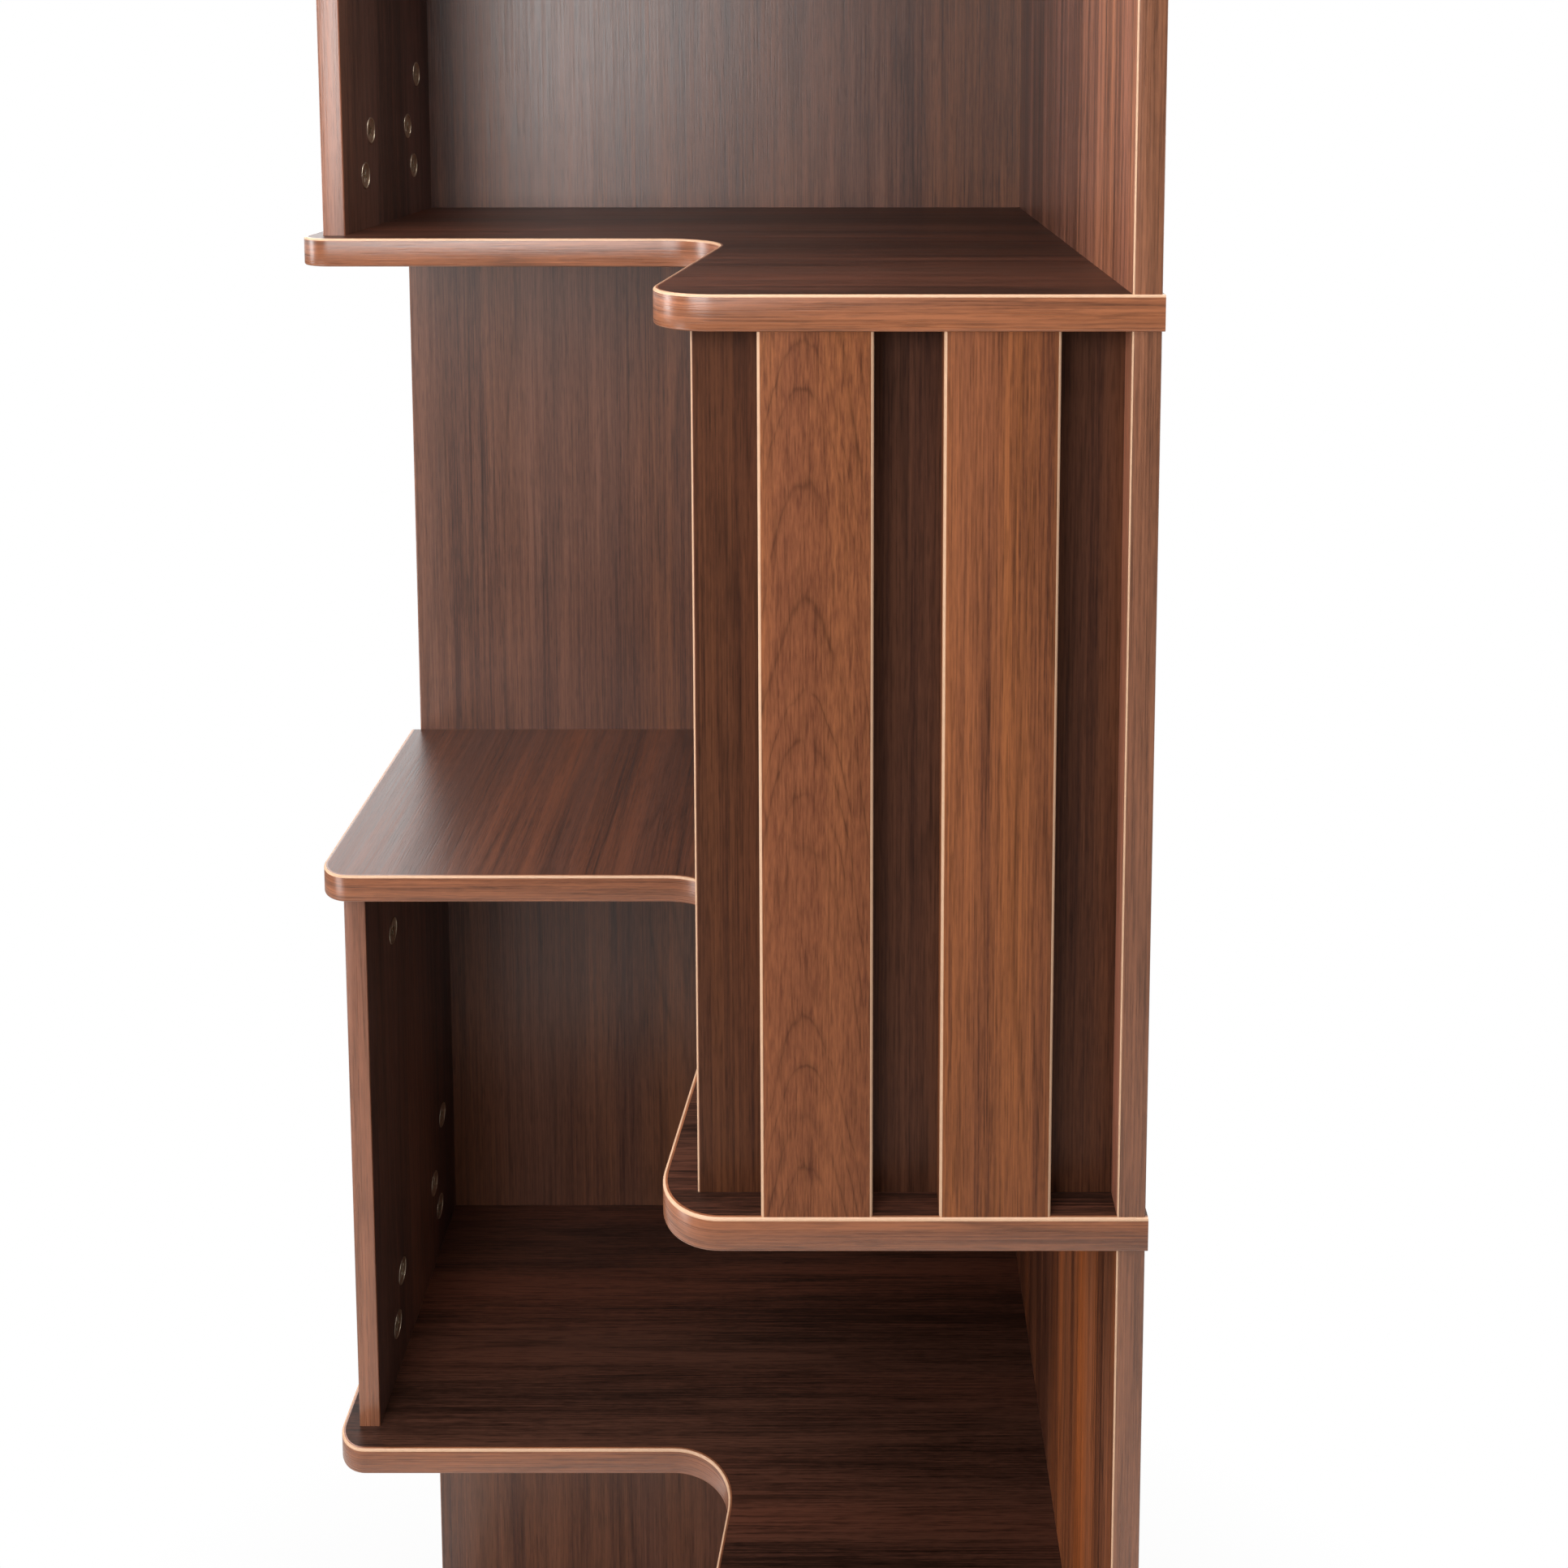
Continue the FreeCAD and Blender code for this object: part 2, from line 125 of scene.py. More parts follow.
# How far fibres change the roughness, and how fibres and pores catch the light
ROUGHNESS_SPREAD = 0.04
RELIEF_STRENGTH = 0.15
RELIEF_DEPTH = 0.1 * MM

# Growth rings, counted in years. In straight grain they drift from side to side, and fibres fray them.
RING_DRIFT = dict(across=34, length=700, detail=1.5, low=0, high=1, waver=0.3)
DRIFT_YEARS = 10
FRAY_YEARS = 0.12
# In a flame the arches sway, wander and fray by these lengths in mm, and their years are uneven
FLAME_SWAY = dict(across=60, length=120, detail=1, low=0, high=1)
FLAME_WANDER = dict(across=9, length=30, detail=2, low=0, high=1, waver=0.3)
SWAY_REACH = 10
WANDER_REACH = 15
FRAY_REACH = 0.8
UNEVEN_SHARE = 0.4
UNEVEN_YEARS = 2
# A ring darkens slowly towards a fine line and lightens again, and both are worn away in places
HALF_YEAR = 0.5
LATE_START = 0.1
LATE_CURVE = 2
LATE_SHARE = 0.5
LINE_START = 0.36
FLAME_LINE_START = 0.42
WORN_SPOTS = dict(across=10, length=70, detail=2, low=0.34, high=0.6)

# Mottle of the plain finishes: the noise levels that become 0 and 1, and what it does to the surface
MOTTLE_DETAIL = 3
MOTTLE_LOW = 0.3
MOTTLE_HIGH = 0.7
MOTTLE_ROUGHNESS_SPREAD = 0.05
MOTTLE_STRENGTH = 0.1
MOTTLE_DEPTH = 0.05 * MM


def hex_colour(text):
    """Linear colour of an sRGB hex value."""
    parts = [int(text[i:i + 2], 16) / 255 for i in (1, 3, 5)]
    return [c / 12.92 if c <= 0.04045 else ((c + 0.055) / 1.055) ** 2.4 for c in parts] + [1]


def add_node(tree, kind, inputs, **settings):
    """Add a node; an input is a value or the output of another node."""
    made = tree.nodes.new("ShaderNode" + kind)
    for key, value in settings.items():
        setattr(made, key, value)
    for key, value in inputs.items():
        if isinstance(value, bpy.types.NodeSocket):
            tree.links.new(value, made.inputs[key])
        else:
            made.inputs[key].default_value = value
    return made.outputs[0]


def new_finish(name):
    """Empty material with its tree, shader and object coordinates."""
    material = bpy.data.materials.new(name)
    material.use_nodes = True
    tree = material.node_tree
    shader = tree.nodes["Principled BSDF"]
    place = tree.nodes.new("ShaderNodeTexCoord").outputs["Object"]
    return material, tree, shader, place


def walnut(name, dark, mid, warm, along, shift=(0, 0, 0), flame=None, painted_rear_shade=None, bands=26, stripe=4.5,
           reach=1.0, contrast=1.0, lines=0.35, roughness=0.42, gloss=0.3):
    """Walnut print, drawn in mm: tone bands, growth streaks, fibres, pores and the lines of growth rings.

    The grain runs along the named axes, and the shift picks a part of the print. Bands and stripe are the
    widths of tone bands and growth streaks, reach is how long streaks and fibres are beside the usual, and
    lines is how dark the rings are. A flame is (centre x, radius at an arch's top, height from one arch to
    the next): the rings of a board whose face cuts them aslant. A painted rear shade is a list of (axis,
    start, end), in metres: painted shade darkens the foil from each start to its end.
    """
    material, tree, shader, place = new_finish(name)
    grain = add_node(tree, "Mapping", {"Vector": place, "Location": shift, "Scale": (1 / MM,) * 3})

    def streak(across, length, detail, low, high, waver=0.0):
        """Noise drawn out along the grain, from 0 to 1."""
        size = [1 / length if axis in along else 1 / across for axis in "xyz"]
        at = add_node(tree, "VectorMath", {0: grain, 1: size}, operation="MULTIPLY")
        noise = add_node(tree, "TexNoise", {"Vector": at, "Scale": 1, "Detail": detail,
                                            "Roughness": NOISE_ROUGHNESS, "Distortion": waver})
        return add_node(tree, "MapRange", {"Value": noise, "From Min": low, "From Max": high})

    def sum_of(start, *parts):
        """Start value plus each part times its weight."""
        for part, weight in parts:
            start = add_node(tree, "Math", {0: part, 1: weight, 2: start}, operation="MULTIPLY_ADD")
        return start

    def painted_rear_shade_mask():
        """1 where painted shade darkens the foil, and 0 outside it."""
        sides = add_node(tree, "SeparateXYZ", {0: place}).node.outputs
        shade = 1
        for axis, start, end in painted_rear_shade:
            ramp = add_node(tree, "MapRange", {"Value": sides[axis], "From Min": start, "From Max": end})
            shade = add_node(tree, "Math", {0: ramp, 1: shade}, operation="MULTIPLY")
        return shade

    def flame_years():
        """Years of growth in a face that shows arches, one above another."""
        centre, arch_radius, pitch = flame
        sides = add_node(tree, "SeparateXYZ", {0: grain}).node.outputs
        sway = streak(**FLAME_SWAY)
        side = sum_of(-centre - SWAY_REACH / 2, (sides["X"], 1), (sway, SWAY_REACH))
        square = add_node(tree, "Math", {0: side, 1: side}, operation="MULTIPLY")
        arch = (square, 1 / (2 * arch_radius))
        wander = streak(**FLAME_WANDER)
        rise = sum_of(sides["Z"], arch, (wander, WANDER_REACH), (fleck, FRAY_REACH))
        uneven = add_node(tree, "TexNoise", {"W": rise, "Scale": UNEVEN_SHARE / pitch, "Detail": 1},
                          noise_dimensions="1D")
        return sum_of(0, (rise, 1 / pitch), (uneven, UNEVEN_YEARS))

    def ring_lines(year, line_start):
        """Darkness of the growth rings, from 0 to 1."""
        year = add_node(tree, "Math", {0: year, 1: HALF_YEAR}, operation="PINGPONG")
        late = add_node(tree, "MapRange", {"Value": year, "From Min": LATE_START, "From Max": HALF_YEAR})
        late = add_node(tree, "Math", {0: late, 1: LATE_CURVE}, operation="POWER")
        edge = add_node(tree, "MapRange", {"Value": year, "From Min": line_start, "From Max": HALF_YEAR})
        line = sum_of(0, (late, LATE_SHARE), (edge, 1 - LATE_SHARE))
        return add_node(tree, "Math", {0: line, 1: streak(**WORN_SPOTS)}, operation="MULTIPLY")

    broad = streak(across=bands, **TONE_BANDS)
    warmth = streak(across=bands * WARM_WIDTH_SHARE, **WARM_BANDS)
    growth = streak(across=stripe, length=GROWTH_LENGTH * reach, **GROWTH)
    fibre = streak(length=FIBRE_LENGTH * reach, **FIBRES)
    fleck = streak(**FLECKS)
    pore = streak(**PORES)

    weights = [share * contrast for share in TONE_SHARES]
    tone = sum_of(MIDDLE_TONE - sum(weights) / 2, *zip((broad, growth, fibre, fleck), weights))
    # Painted shade: the foil darkens where the rear of the right panels' inner faces lies in shadow
    if painted_rear_shade:
        tone = sum_of(tone, (painted_rear_shade_mask(), -REAR_SHADE_SHARE))
    tone = add_node(tree, "Math", {0: tone, 1: 0}, operation="ADD", use_clamp=True)
    if flame:
        line = ring_lines(flame_years(), FLAME_LINE_START)
    else:
        line = ring_lines(sum_of(0, (streak(**RING_DRIFT), DRIFT_YEARS), (fibre, FRAY_YEARS)), LINE_START)

    light = add_node(tree, "MixRGB", {"Fac": warmth, "Color1": hex_colour(mid), "Color2": hex_colour(warm)})
    colour = add_node(tree, "MixRGB", {"Fac": tone, "Color1": hex_colour(dark), "Color2": light})
    for mark, strength in ((line, lines), (pore, PORE_SHARE * contrast)):
        shade = add_node(tree, "MapRange", {"Value": mark, "To Min": 1, "To Max": 1 - strength})
        colour = add_node(tree, "MixRGB", {"Fac": 1, "Color1": colour, "Color2": shade},
                          blend_type="MULTIPLY")
    tree.links.new(colour, shader.inputs["Base Color"])
    rough = add_node(tree, "MapRange", {"Value": fibre, "To Min": roughness - ROUGHNESS_SPREAD,
                                        "To Max": roughness + ROUGHNESS_SPREAD})
    tree.links.new(rough, shader.inputs["Roughness"])
    relief = sum_of(fibre, (pore, -1))
    raised = add_node(tree, "Bump", {"Height": relief, "Strength": RELIEF_STRENGTH,
                                     "Distance": RELIEF_DEPTH})
    tree.links.new(raised, shader.inputs["Normal"])
    shader.inputs["IOR"].default_value = COATING_IOR
    shader.inputs["Specular IOR Level"].default_value = gloss
    return material


def plain_finish(name, colour, spread, across, roughness, metallic=0.0):
    """Finish with a fine mottle: the spread is how far its tone moves, and across its grain size in mm."""
    material, tree, shader, place = new_finish(name)
    at = add_node(tree, "VectorMath", {0: place, 1: (1 / (across * MM),) * 3}, operation="MULTIPLY")
    mottle = add_node(tree, "TexNoise", {"Vector": at, "Scale": 1, "Detail": MOTTLE_DETAIL,
                                         "Roughness": NOISE_ROUGHNESS})
    shade = add_node(tree, "MapRange", {"Value": mottle, "From Min": MOTTLE_LOW, "From Max": MOTTLE_HIGH,
                                        "To Min": 1 - spread, "To Max": 1})
    tinted = add_node(tree, "MixRGB", {"Fac": 1, "Color1": hex_colour(colour), "Color2": shade},
                      blend_type="MULTIPLY")
    tree.links.new(tinted, shader.inputs["Base Color"])
    rough = add_node(tree, "MapRange", {"Value": mottle, "From Min": MOTTLE_LOW, "From Max": MOTTLE_HIGH,
                                        "To Min": roughness - MOTTLE_ROUGHNESS_SPREAD,
                                        "To Max": roughness + MOTTLE_ROUGHNESS_SPREAD})
    tree.links.new(rough, shader.inputs["Roughness"])
    raised = add_node(tree, "Bump", {"Height": mottle, "Strength": MOTTLE_STRENGTH,
                                     "Distance": MOTTLE_DEPTH})
    tree.links.new(raised, shader.inputs["Normal"])
    shader.inputs["Metallic"].default_value = metallic
    if not metallic:
        shader.inputs["IOR"].default_value = COATING_IOR
    return material


# Lacquered walnut foil on the boards: dark and satin, so that its streaks show softly under a dull sheen.
# The grain runs from left to right, and on the left shelves from front to back.
board_walnut = walnut("walnut_board_foil", "#2b1912", "#533428", "#63392a", along="x", shift=(0, 253, 0),
                      bands=34, stripe=8, contrast=1.6, gloss=0.15)
shelf_walnut = walnut("walnut_shelf_foil", "#391f15", "#663d2d", "#7c452a", along="y", shift=(174, 0, 0),
                      bands=24, contrast=0.95, gloss=0.5, roughness=0.36)

# The same foil with upright grain: shinier on the backs, greyer on the sides, and darker behind the slats
# by painted shade
back_walnut = walnut("walnut_back_foil", "#4f3026", "#80533f", "#895538", along="z", bands=30, stripe=3.5,
                     contrast=1.05, gloss=0.84, roughness=0.35)
side_walnut = walnut("walnut_side_foil", "#3c302d", "#806155", "#91654f", along="z", shift=(0, 148, 0),
                     bands=60, contrast=1.3)
# The backing is a darker copy of the back foil: the extra darkness is painted shade for its recess behind
# the slats
backing_walnut_painted_shade = walnut("walnut_backing_foil_painted_shade", "#341d16", "#5d3928", "#653c26", along="z", shift=(22, 0, 0),
                        bands=20, gloss=0.15)

# Ribbon grain on the right panels: straight stripes, dark and warm, more orange on the lower panels.
# Painted shade darkens the rear part of their inner faces, and ends halfway through the panel.
right_low, right_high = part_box("right_panel_1")
right_middle = (right_low.x + right_high.x) / 2
# Painted shade sets in between these places from front to back, and stops within this step of the panel's
# middle, so that only inner faces are shaded
REAR_SHADE_FRONT = -75 * MM
REAR_SHADE_FULL = -5 * MM
FACE_STEP = 1 * MM
PAINTED_REAR_SHADE = (("Y", REAR_SHADE_FRONT, REAR_SHADE_FULL), ("X", right_middle + FACE_STEP, right_middle - FACE_STEP))
RIBBON = dict(along="z", painted_rear_shade=PAINTED_REAR_SHADE, bands=24, stripe=4.5, reach=3, lines=0.5, gloss=0.6, roughness=0.36)
# The upper panels' copy is lighter and pinker than the lower one: partly the print, and partly painted
# light and sheen for the better-lit upper tiers
ribbon_walnut_painted_light = walnut("walnut_ribbon_foil_painted_light", "#5e3728", "#be7b63", "#ca815d", shift=(0, 420, 0),
                       contrast=1.4, **RIBBON)
lower_ribbon_walnut = walnut("walnut_lower_ribbon_foil", "#4a2617", "#a5623f", "#c66b34", shift=(0, 50, 0),
                             contrast=1.15, **RIBBON)

# Lighter walnut on the slats, nearly matt: one cut aslant through the growth rings, one with straight
# grain. The flames stand a little to the left and to the right of the slats' middle.
slat_low, slat_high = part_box("upper_slat_1")
slat_centre = (slat_low.x + slat_high.x) / 2 / MM
FLAME = (slat_centre - 4, 3.3, 33)
LOWER_FLAME = (slat_centre + 3, 3.7, 36)
FLAMED = dict(along="z", stripe=1.6, reach=0.08, contrast=0.85, lines=0.42, gloss=0.15)
flame_walnut = walnut("walnut_flame_foil", "#693b28", "#985c3c", "#b06d40", flame=FLAME, **FLAMED)
lower_flame_walnut = walnut("walnut_lower_flame_foil", "#693b28", "#985c3c", "#b06d40", flame=LOWER_FLAME,
                            **FLAMED)
straight_walnut = walnut("walnut_straight_foil", "#5e3727", "#965b3d", "#a3623a", along="z",
                         shift=(11, 0, 0), bands=14, stripe=2.5, gloss=0.15)

# Edge bands of printed plastic: lighter and shinier than the foil, with the print along the edge
PRINTED = dict(gloss=0.9, roughness=0.3)
edging_print = walnut("walnut_edging", "#5a3220", "#a76643", "#af6a43", along="xy", contrast=0.9, **PRINTED)
upright_edging = walnut("walnut_upright_edging", "#603b29", "#a3694f", "#aa6d4b", along="z", contrast=0.8,
                        **PRINTED)
# The trimmed arris of a band shows the unprinted plastic inside it, as a pale line
bare_edging = plain_finish("bare_edging_arris", "#dcb08e", spread=0.08, across=3, roughness=0.45)

# Die-cast zinc: a pale metal with a blurred shine and the slight blotches of the casting
cam_zinc = plain_finish("die_cast_zinc", "#e4d6bf", spread=0.25, across=0.8, roughness=0.48, metallic=1.0)
# Zinc-plated steel: a grey metal, smoother and shinier than the cast one
plated_steel = plain_finish("plated_steel", "#a8a6a2", spread=0.15, across=0.8, roughness=0.3, metallic=1.0)
# Turned beech: pale, matt and finely speckled
beech = plain_finish("beech_dowel", "#c79a6b", spread=0.2, across=1.2, roughness=0.6)
# Moulded plastic: nearly black and even, with a dull sheen
glide_plastic = plain_finish("moulded_glide_plastic", "#2b2420", spread=0.1, across=1.5, roughness=0.5)


# Shaping

def pick(kind, test):
    """Select, in edit mode, just those of the verts, edges or faces that pass a test."""
    bpy.ops.mesh.select_all(action="DESELECT")
    bpy.ops.mesh.select_mode(type={"verts": "VERT", "edges": "EDGE", "faces": "FACE"}[kind])
    mesh = bpy.context.edit_object.data
    shape = bmesh.from_edit_mesh(mesh)
    shape.normal_update()
    for part in getattr(shape, kind):
        if test(part):
            part.select_set(True)
    bmesh.update_edit_mesh(mesh)


def near(a, b):
    """Whether two places along an axis are the same."""
    return abs(a - b) < SAME_PLACE


def select_only(*pieces):
    """Select just these pieces, the first of them as the active one."""
    bpy.ops.object.select_all(action="DESELECT")
    for piece in pieces:
        piece.select_set(True)
    bpy.context.view_layer.objects.active = pieces[0]


def begin(name, add, low, high, finishes):
    """Start a piece as a primitive over a box, in edit mode, with its place in its mesh."""
    bpy.ops.object.select_all(action="DESELECT")
    add(size=1, location=(low + high) / 2)
    piece = bpy.context.active_object
    piece.scale = [side or 1 for side in high - low]
    bpy.ops.object.transform_apply(location=True, rotation=True, scale=True)
    piece.name = piece.data.name = name
    for finish in finishes:
        piece.data.materials.append(finish)
    bpy.ops.object.mode_set(mode="EDIT")
    return piece


def finish_piece(piece, node):
    """Leave edit mode and let the piece stand for a CAD node."""
    bpy.ops.object.mode_set(mode="OBJECT")
    bpy.ops.object.shade_smooth_by_angle(angle=CREASE)
    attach(piece, "root")
    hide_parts(node)


def extrude(x=0.0, y=0.0, z=0.0):
    """Extrude what is selected."""
    bpy.ops.mesh.extrude_region_move(TRANSFORM_OT_translate={"value": (x, y, z)})


def trim_arris(width, finish):
    """Round the selected edges, in the finish of that number, or in that of their faces where it is -1."""
    bpy.ops.mesh.bevel(offset=width, segments=ARRIS_STEPS, profile=ROUND, material=finish,
                       clamp_overlap=False)


# Shelf boards with their bands

def round_corner(x, y, radius, turn):
    """Round the outline's corner at a place, where its edges turn by an angle."""
    pick("verts", lambda v: near(v.co.x, x) and near(v.co.y, y))
    bpy.ops.mesh.bevel(offset=radius * math.tan(turn / 2), segments=CORNER_STEPS, affect="VERTICES",
                       clamp_overlap=False)


def cut_away(place, facing):
    """Cut the sheet by an upright plane and clear the side that the plane faces."""
    bpy.ops.mesh.select_all(action="SELECT")
    bpy.ops.mesh.bisect(plane_co=place, plane_no=facing, clear_outer=True)


def draw_outline(name, kind, back, level, finish):
    """Flat outline of a board and its band, with its corners rounded, in edit mode.

    It runs past the wall edges by a band's thickness, so that the inset leaves no band along them. A left
    shelf starts as a full board.
    """
    front_only = kind == "front"
    start = Vector((ARM_ROOT if front_only else CASE_LEFT, ARM_FRONT, level))
    end = Vector((CASE_RIGHT + BAND if front_only else ARM_ROOT, back + BAND, level))
    piece = begin(name, bpy.ops.mesh.primitive_plane_add, start, end, [finish])
    if not front_only:
        pick("edges", lambda e: all(near(v.co.x, ARM_ROOT) for v in e.verts))
        extrude(x=CASE_RIGHT + BAND - ARM_ROOT)
    root = ARM_ROOT - SAME_PLACE
    pick("edges", lambda e: all(near(v.co.y, ARM_FRONT) and v.co.x > root for v in e.verts))
    extrude(y=CASE_FRONT - ARM_FRONT)
    pick("verts", lambda v: near(v.co.x, ARM_ROOT) and near(v.co.y, CASE_FRONT))
    bpy.ops.transform.translate(value=(-NOSE_FLARE, 0, 0))
    bpy.ops.mesh.select_all(action="SELECT")
    bpy.ops.mesh.dissolve_limited(angle_limit=STRAIGHT)
    slant = math.atan2(NOSE_FLARE, ARM_FRONT - CASE_FRONT)
    square = math.pi / 2
    if not front_only:
        round_corner(CASE_LEFT, ARM_FRONT, LEFT_CORNER_R, square)
    round_corner(ARM_ROOT, ARM_FRONT, INNER_CORNER_R, slant if front_only else square + slant)
    round_corner(NOSE, CASE_FRONT, NOSE_CORNER_R, square + slant)
    return piece


def part_band(piece, name, kind, back):
    """Part the band from a board's flat outline by an inset.

    Both are cut off at the walls, and those of a left shelf at the divider.
    """
    bpy.ops.mesh.select_mode(type="FACE")
    bpy.ops.mesh.select_all(action="SELECT")
    bpy.ops.mesh.inset(thickness=BAND, use_even_offset=True)
    sheet = bmesh.from_edit_mesh(piece.data)
    for face in sheet.faces:
        face.material_index = 0 if face.select else 1
    bmesh.update_edit_mesh(piece.data)
    cut_away((0, back, 0), (0, 1, 0))
    if kind == "left":
        cut_away((ARM_ROOT, 0, 0), (1, 0, 0))
        cut_away((0, TAIL_FRONT, 0), (0, -1, 0))
    else:
        cut_away((CASE_RIGHT, 0, 0), (1, 0, 0))
    pick("faces", lambda f: f.material_index == 1)
    bpy.ops.mesh.separate(type="SELECTED")
    bpy.ops.object.mode_set(mode="OBJECT")
    band = next(o for o in bpy.context.selected_objects if o != piece)
    band.name = band.data.name = name
    band.data.materials.clear()
    for edging in (edging_print, bare_edging):
        band.data.materials.append(edging)
    return band


def thicken(part, thickness):
    """Give a flat part of a board its thickness, downwards, and stay in edit mode."""
    select_only(part)
    bpy.ops.object.mode_set(mode="EDIT")
    bpy.ops.mesh.select_all(action="SELECT")
    extrude(z=-thickness)
    bpy.ops.mesh.select_all(action="SELECT")
    bpy.ops.mesh.normals_make_consistent(inside=False)
    for face in bmesh.from_edit_mesh(part.data).faces:
        face.material_index = 0


# A face is upright when its normal rises less than this, and on a band's outer side when it faces so far
# to the front and left
UPRIGHT_RISE = 0.1
OUTER_FACING = 0.5


def is_outer_arris(edge, level):
    """Whether an edge of a band lies at a level, along its outer side."""
    normals = [face.normal for face in edge.link_faces]
    outer = any(abs(n.z) < UPRIGHT_RISE and n.x + n.y < -OUTER_FACING for n in normals)
    return outer and all(near(v.co.z, level) for v in edge.verts)


def shelf_board(node, kind, finish):
    """Shelf board and its band, drawn as one flat outline, parted by an inset and thickened.

    The kind is full for a board over both arms, or else left or front for the one arm it lies on.
    """
    low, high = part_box(node)
    piece = draw_outline(node + "_walnut", kind, high.y, high.z, finish)
    band = part_band(piece, node + "_edging", kind, high.y)
    thicken(piece, high.z - low.z)
    finish_piece(piece, node)
    thicken(band, high.z - low.z)
    for level, shown in ((high.z, 1), (low.z, 0)):
        pick("edges", lambda e: is_outer_arris(e, level))
        trim_arris(SHELF_ARRIS, shown)
    finish_piece(band, node + "_band")


for board in ("top_board", "upper_board", "middle_board", "base_board"):
    shelf_board(board, "full", board_walnut)
for shelf in ("upper_left_shelf", "lower_left_shelf"):
    shelf_board(shelf, "left", shelf_walnut)
for shelf in ("upper_front_shelf", "lower_front_shelf"):
    shelf_board(shelf, "front", board_walnut)


# Upright bands and slats

# Which arrises show the bare plastic, told by an end of the arris and the strip's lowest corner
PALE_ARRISES = {
    "both": lambda end, low: True,
    "neither": lambda end, low: False,
    "left": lambda end, low: near(end.x, low.x),
    "front": lambda end, low: near(end.y, low.y),
}


def upright_strip(node, name, faces, pale, arris, finish):
    """Edge band or slat with trimmed long arrises on the side it faces; the pale ones show bare plastic."""
    low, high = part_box(node)
    piece = begin(name, bpy.ops.mesh.primitive_cube_add, low, high, [finish, bare_edging])
    front = low.y if faces == "front" else low.x
    is_pale = PALE_ARRISES[pale]

    def on_face(edge):
        """Whether an edge runs upright along the side that the strip faces."""
        places = [v.co.y if faces == "front" else v.co.x for v in edge.verts]
        upright = not near(edge.verts[0].co.z, edge.verts[1].co.z)
        return upright and all(near(place, front) for place in places)

    for shows in (False, True):
        pick("edges", lambda e: on_face(e) and is_pale(e.verts[0].co, low) == shows)
        trim_arris(arris, 1 if shows else -1)
    finish_piece(piece, node)


banded_panels = (
    [(f"right_panel_{tier}", "front", "left") for tier in UPPER_RIGHT_TIERS + LOWER_RIGHT_TIERS]
    + [(f"left_panel_{tier}", "front", "neither") for tier in LEFT_TIERS]
    + [(f"{back}_back_panel", "left", "neither") for back in BACKS]
    + [(f"{end}_slat_backing", "left", "front") for end in SLATTED_ENDS]
)
for node, faces, pale in banded_panels:
    upright_strip(node + "_band", node + "_edging", faces, pale, PANEL_ARRIS, upright_edging)

slat_finishes = {
    "upper_slat_1": flame_walnut,
    "lower_slat_1": lower_flame_walnut,
    "upper_slat_2": straight_walnut,
    "lower_slat_2": straight_walnut,
}
for node, finish in slat_finishes.items():
    upright_strip(node, node + "_walnut", "front", "both", SLAT_ARRIS, finish)


# Cam locks, each turned a little differently

CAM_SIDES = 48
CAM_RIM = 0.9 * MM
CAM_RIM_DROP = 0.35 * MM
CAM_DISH = 2.6 * MM
CAM_DISH_DROP = 0.3 * MM
CAM_ARRIS = 0.25 * MM
CAM_ARRIS_STEPS = 2
CROSS_LENGTH = 8 * MM
CROSS_WIDTH = 1.7 * MM
CROSS_DEPTH = 1.9 * MM
# In radians
CAM_TURNS = (0.2, -0.5, 0.7, 0.0, -0.25, 0.45)
# Corners of a CAD mesh closer together than this are one corner
MERGE_REACH = 0.001 * MM


def shells(node):
    """Boxes of the separate solids that a CAD node holds."""
    shape = bmesh.new()
    shape.from_mesh(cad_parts[node].data)
    bmesh.ops.remove_doubles(shape, verts=shape.verts, dist=MERGE_REACH)
    boxes = []
    left = set(shape.verts)
    while left:
        found = [left.pop()]
        for vert in found:
            linked = {edge.other_vert(vert) for edge in vert.link_edges} & left
            left -= linked
            found += linked
        sides = list(zip(*(vert.co for vert in found)))
        boxes.append((Vector(map(min, sides)), Vector(map(max, sides))))
    shape.free()
    return sorted(boxes, key=lambda box: (box[0].z, box[0].y))


def carve_bar(piece, place, size, turn):
    """Cut a straight slot out of a piece, turned about the X axis."""
    bpy.ops.object.select_all(action="DESELECT")
    bpy.ops.mesh.primitive_cube_add(size=1, location=place, rotation=(turn, 0, 0))
    cutter = bpy.context.active_object
    cutter.scale = size
    cut = piece.modifiers.new("slot", "BOOLEAN")
    cut.operation = "DIFFERENCE"
    cut.solver = "EXACT"
    cut.object = cutter
    bpy.context.view_layer.objects.active = piece
    bpy.ops.object.modifier_apply(modifier=cut.name)
    bpy.data.objects.remove(cutter)


